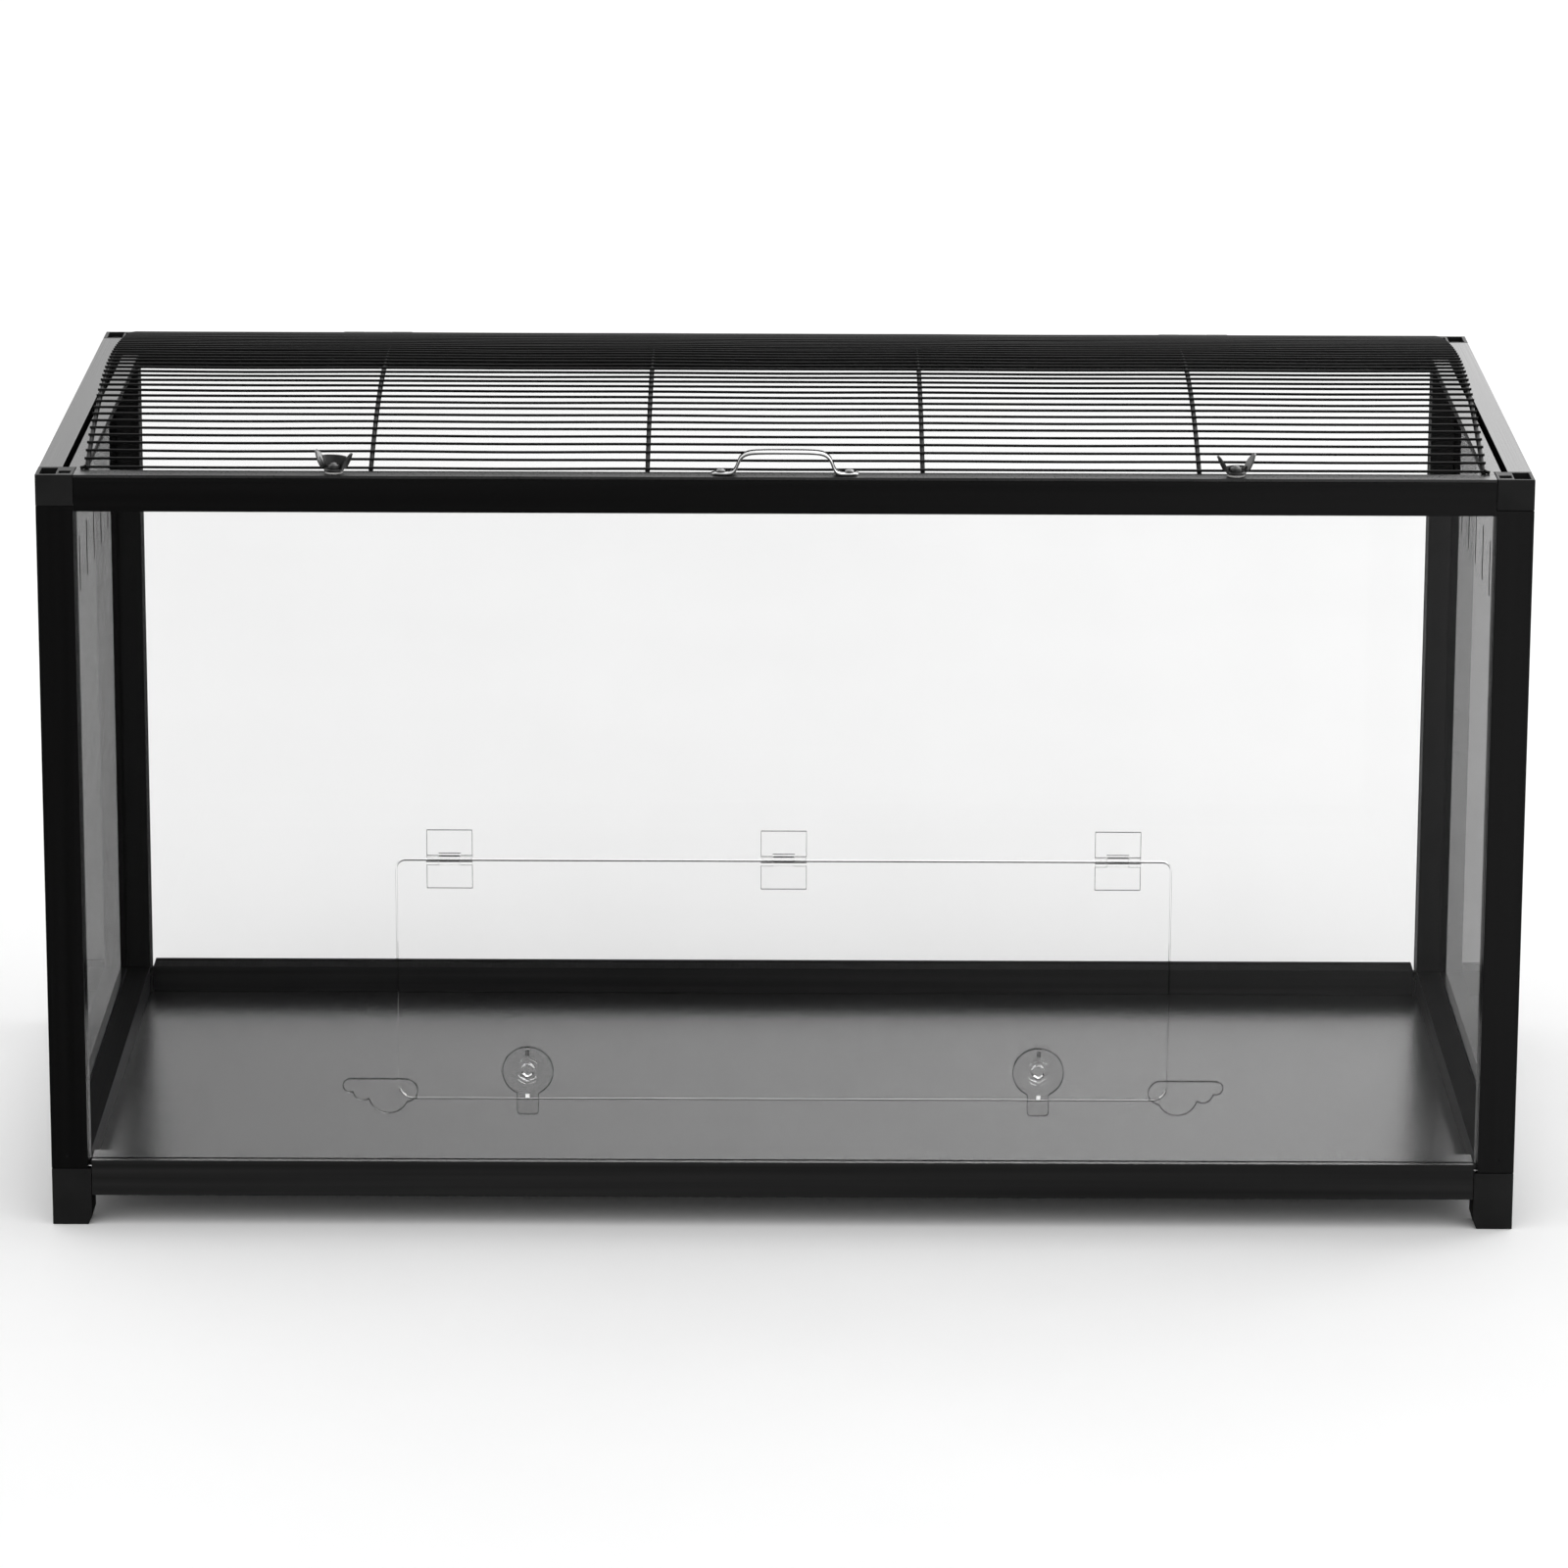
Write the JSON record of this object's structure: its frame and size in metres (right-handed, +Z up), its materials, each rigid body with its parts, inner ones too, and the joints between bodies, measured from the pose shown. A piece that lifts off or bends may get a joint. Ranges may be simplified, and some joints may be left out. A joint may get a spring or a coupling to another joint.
{
  "type": "hamster cage",
  "caption": "Rectangular small-animal cage: black aluminium frame, plastic corners, clear acrylic walls, a top-hinged front door with turn latches, and an arched wire lid with a handle.",
  "frame": {"origin": "on the surface that the cage stands on, under the middle of the cage", "axes": "+X to the right as seen from the front, +Y to the rear, +Z up; the door is in the front wall, which faces -Y"},
  "size_m": [1, 0.5126, 0.5649],
  "materials": {
    "frame_aluminium": "black anodised, satin with fine drawing lines along the bar",
    "corner_plastic": "black moulded plastic, a little lighter than the bars",
    "clear_acrylic": "clear polished acrylic",
    "floor_plastic": "black sheet plastic, semi-gloss",
    "lid_steel": "black powder coat, semi-gloss",
    "handle_chrome": "bright chrome plate",
    "fastener_steel": "zinc plate, dull",
    "washer_nylon": "white nylon"
  },
  "bodies": {
    "frame": {"front_left_post": "frame_aluminium", "front_right_post": "frame_aluminium", "rear_left_post": "frame_aluminium", "rear_right_post": "frame_aluminium", "front_left_top_connector": "corner_plastic", "front_right_top_connector": "corner_plastic", "rear_left_top_connector": "corner_plastic", "rear_right_top_connector": "corner_plastic", "front_left_bottom_connector": "corner_plastic", "front_right_bottom_connector": "corner_plastic", "rear_left_bottom_connector": "corner_plastic", "rear_right_bottom_connector": "corner_plastic", "front_bottom_rail": "frame_aluminium", "rear_bottom_rail": "frame_aluminium", "left_bottom_rail": "frame_aluminium", "right_bottom_rail": "frame_aluminium", "front_top_rail": "frame_aluminium", "rear_top_rail": "frame_aluminium", "left_top_rail": "frame_aluminium", "right_top_rail": "frame_aluminium", "front_panel": "clear_acrylic", "rear_panel": "clear_acrylic", "left_panel": "clear_acrylic", "right_panel": "clear_acrylic", "floor_panel": "floor_plastic", "left_door_hinge_fixed_leaf": "clear_acrylic", "left_door_hinge_pin": "clear_acrylic", "middle_door_hinge_fixed_leaf": "clear_acrylic", "middle_door_hinge_pin": "clear_acrylic", "right_door_hinge_fixed_leaf": "clear_acrylic", "right_door_hinge_pin": "clear_acrylic", "left_door_stop": "clear_acrylic", "right_door_stop": "clear_acrylic", "left_lid_hinge_frame_leaf": "lid_steel", "left_lid_hinge_pin": "fastener_steel", "right_lid_hinge_frame_leaf": "lid_steel", "right_lid_hinge_pin": "fastener_steel"},
    "lid": {"lid_front_strip": "lid_steel", "lid_rear_strip": "lid_steel", "lid_left_strip": "lid_steel", "lid_right_strip": "lid_steel", "grille": "lid_steel", "handle": "handle_chrome", "left_handle_screw": "fastener_steel", "right_handle_screw": "fastener_steel", "left_washer": "washer_nylon", "right_washer": "washer_nylon", "left_lid_hinge_lid_leaf": "lid_steel", "right_lid_hinge_lid_leaf": "lid_steel"},
    "door": {"door_panel": "clear_acrylic", "left_door_hinge_moving_leaf": "clear_acrylic", "middle_door_hinge_moving_leaf": "clear_acrylic", "right_door_hinge_moving_leaf": "clear_acrylic"},
    "left_latch": {"left_latch_knob": "clear_acrylic", "left_latch_retainer": "clear_acrylic"},
    "right_latch": {"right_latch_knob": "clear_acrylic", "right_latch_retainer": "clear_acrylic"},
    "left_wing_screw": {"left_wing_screw": "fastener_steel"},
    "right_wing_screw": {"right_wing_screw": "fastener_steel"}
  },
  "joints": [
    {"name": "lid_hinge", "type": "hinge", "parent": "frame", "child": "lid", "pos_m": [0, 0.2533, 0.522], "axis": [-1, 0, 0], "range_deg": [0, 110]},
    {"name": "door_hinge", "type": "hinge", "parent": "frame", "child": "door", "pos_m": [0, -0.2486, 0.2595], "axis": [-1, 0, 0], "range_deg": [0, 165]},
    {"name": "left_latch_turn", "type": "hinge", "parent": "door", "child": "left_latch", "pos_m": [-0.174, -0.245, 0.11], "axis": [0, 1, 0], "continuous": true},
    {"name": "right_latch_turn", "type": "hinge", "parent": "door", "child": "right_latch", "pos_m": [0.174, -0.245, 0.11], "axis": [0, 1, 0], "continuous": true},
    {"name": "left_wing_screw_turn", "type": "hinge", "parent": "lid", "child": "left_wing_screw", "pos_m": [-0.301, -0.242, 0.525], "axis": [0, 0, 1], "continuous": true},
    {"name": "right_wing_screw_turn", "type": "hinge", "parent": "lid", "child": "right_wing_screw", "pos_m": [0.301, -0.242, 0.525], "axis": [0, 0, 1], "continuous": true}
  ]
}
